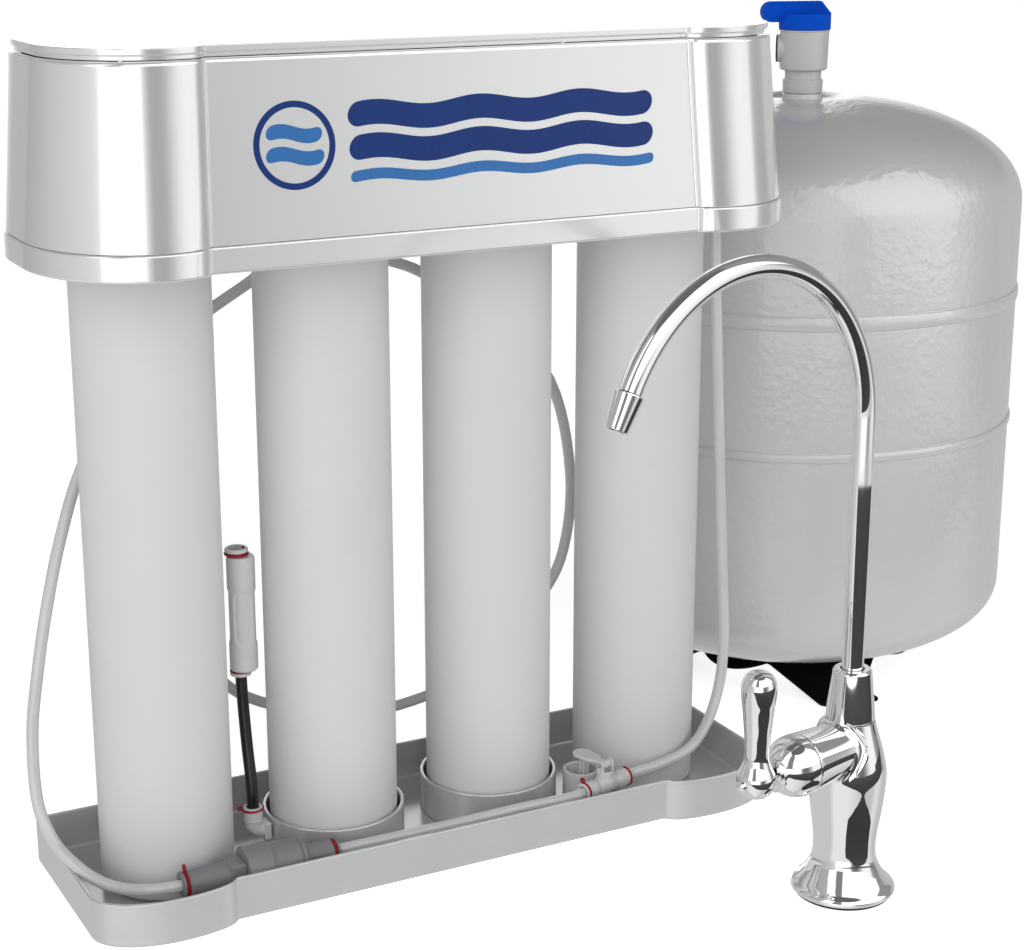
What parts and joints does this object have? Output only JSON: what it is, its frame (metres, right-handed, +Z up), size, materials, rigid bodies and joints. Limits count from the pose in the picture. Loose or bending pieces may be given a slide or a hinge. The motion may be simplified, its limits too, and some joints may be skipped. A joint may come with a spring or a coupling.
{
  "type": "reverse osmosis unit",
  "caption": "Under-sink reverse osmosis set: upright filter cartridges under a long silver head in a drip tray, with a storage tank, a gooseneck faucet and push-fit tubing.",
  "frame": {"origin": "on the floor under the middle of the cartridge row", "axes": "+Z up, +X along the cartridge row towards the storage tank, -Y towards the front panel"},
  "size_m": [0.6467, 0.4575, 0.4076],
  "materials": {
    "silver_casing": "silver gloss paint over moulded plastic",
    "tray_silver": "silver-grey satin",
    "cartridge_plastic": "fine matte moulding",
    "fitting_white": "smooth moulded acetal",
    "fibre": "wound fibre and film",
    "carbon": "pressed carbon",
    "wafer": "pressed absorbent wafer",
    "regulator_grey": "mid grey moulding",
    "clip_red": "deep red",
    "zinc_steel": "zinc plated",
    "tubing": "translucent white polyethylene",
    "tubing_black": "black polyethylene",
    "tank_enamel": "light grey enamel with fine orange peel",
    "rubber": "butyl rubber",
    "black_plastic": "black moulding",
    "lever_blue": "saturated blue",
    "chrome": "polished chrome"
  },
  "bodies": {
    "root": {"head_base": "silver_casing", "head_casing": "silver_casing", "head_lid": "silver_casing", "drip_tray": "tray_silver", "locating_ring_2": "tray_silver", "locating_ring_3": "tray_silver", "cartridge_socket_1": "fitting_white", "cartridge_socket_2": "fitting_white", "cartridge_socket_3": "fitting_white", "cartridge_socket_4": "fitting_white", "manifold_plate": "fitting_white", "shutoff_valve": "fitting_white", "leak_stop_valve": "fitting_white", "leak_stop_cup": "fitting_white", "drain_restrictor": "fitting_white", "drain_elbow": "fitting_white", "tank_valve_body": "fitting_white", "leak_stop_pad": "wafer", "inlet_regulator": "regulator_grey", "clip_regulator_in": "clip_red", "clip_regulator_out": "clip_red", "clip_leak_in": "clip_red", "clip_leak_out": "clip_red", "clip_restrictor_top": "clip_red", "clip_restrictor_low": "clip_red", "clip_elbow": "clip_red", "wall_bracket": "zinc_steel", "leak_stop_pin": "zinc_steel", "tube_feed": "tubing", "tube_regulator_to_leak_stop": "tubing", "tube_leak_stop_to_head": "tubing", "tube_loop": "tubing", "tube_drain": "tubing_black", "tank_shell": "tank_enamel", "tank_diaphragm": "rubber", "faucet_gasket": "rubber", "tank_stand": "black_plastic", "tank_air_valve": "black_plastic", "faucet_body": "chrome", "faucet_bonnet": "chrome", "spout_collar": "chrome"},
    "cartridge_1": {"cartridge_shell_1": "cartridge_plastic", "sediment_core": "fibre"},
    "cartridge_2": {"cartridge_shell_2": "cartridge_plastic", "carbon_block_core": "carbon"},
    "cartridge_3": {"cartridge_shell_3": "cartridge_plastic", "membrane_element": "fibre"},
    "cartridge_4": {"cartridge_shell_4": "cartridge_plastic", "post_carbon_core": "carbon"},
    "spout": {"faucet_spout": "chrome", "spout_tip": "chrome"},
    "handle": {"faucet_handle": "chrome", "handle_screw": "chrome"},
    "tank_lever": {"tank_valve_lever": "lever_blue", "tank_valve_ball": "chrome"},
    "leak_lever": {"leak_stop_lever": "fitting_white"}
  },
  "joints": [
    {"name": "cartridge_1_twist", "type": "hinge", "parent": "root", "child": "cartridge_1", "pos_m": [-0.13298, 0, 0.33], "axis": [0, 0, 1], "range_deg": [0, 90]},
    {"name": "cartridge_2_twist", "type": "hinge", "parent": "root", "child": "cartridge_2", "pos_m": [-0.04433, 0, 0.33], "axis": [0, 0, 1], "range_deg": [0, 90]},
    {"name": "cartridge_3_twist", "type": "hinge", "parent": "root", "child": "cartridge_3", "pos_m": [0.04433, 0, 0.33], "axis": [0, 0, 1], "range_deg": [0, 90]},
    {"name": "cartridge_4_twist", "type": "hinge", "parent": "root", "child": "cartridge_4", "pos_m": [0.13298, 0, 0.33], "axis": [0, 0, 1], "range_deg": [0, 90]},
    {"name": "spout_swivel", "type": "hinge", "parent": "root", "child": "spout", "pos_m": [0.154, -0.1654, 0.1], "axis": [0, 0, 1], "range_deg": [-35, 145]},
    {"name": "faucet_handle_turn", "type": "hinge", "parent": "root", "child": "handle", "pos_m": [0.09067, -0.18002, 0.076], "axis": [-0.9744, -0.225, 0], "range_deg": [0, 90]},
    {"name": "tank_valve_turn", "type": "hinge", "parent": "root", "child": "tank_lever", "pos_m": [0.3164, 0.1196, 0.3892], "axis": [0, 0, 1], "range_deg": [0, 90]},
    {"name": "leak_lever_rise", "type": "hinge", "parent": "root", "child": "leak_lever", "pos_m": [0.0906, -0.044, 0.0314], "axis": [0.9659, 0.2588, 0], "range_deg": [0, 6]}
  ]
}
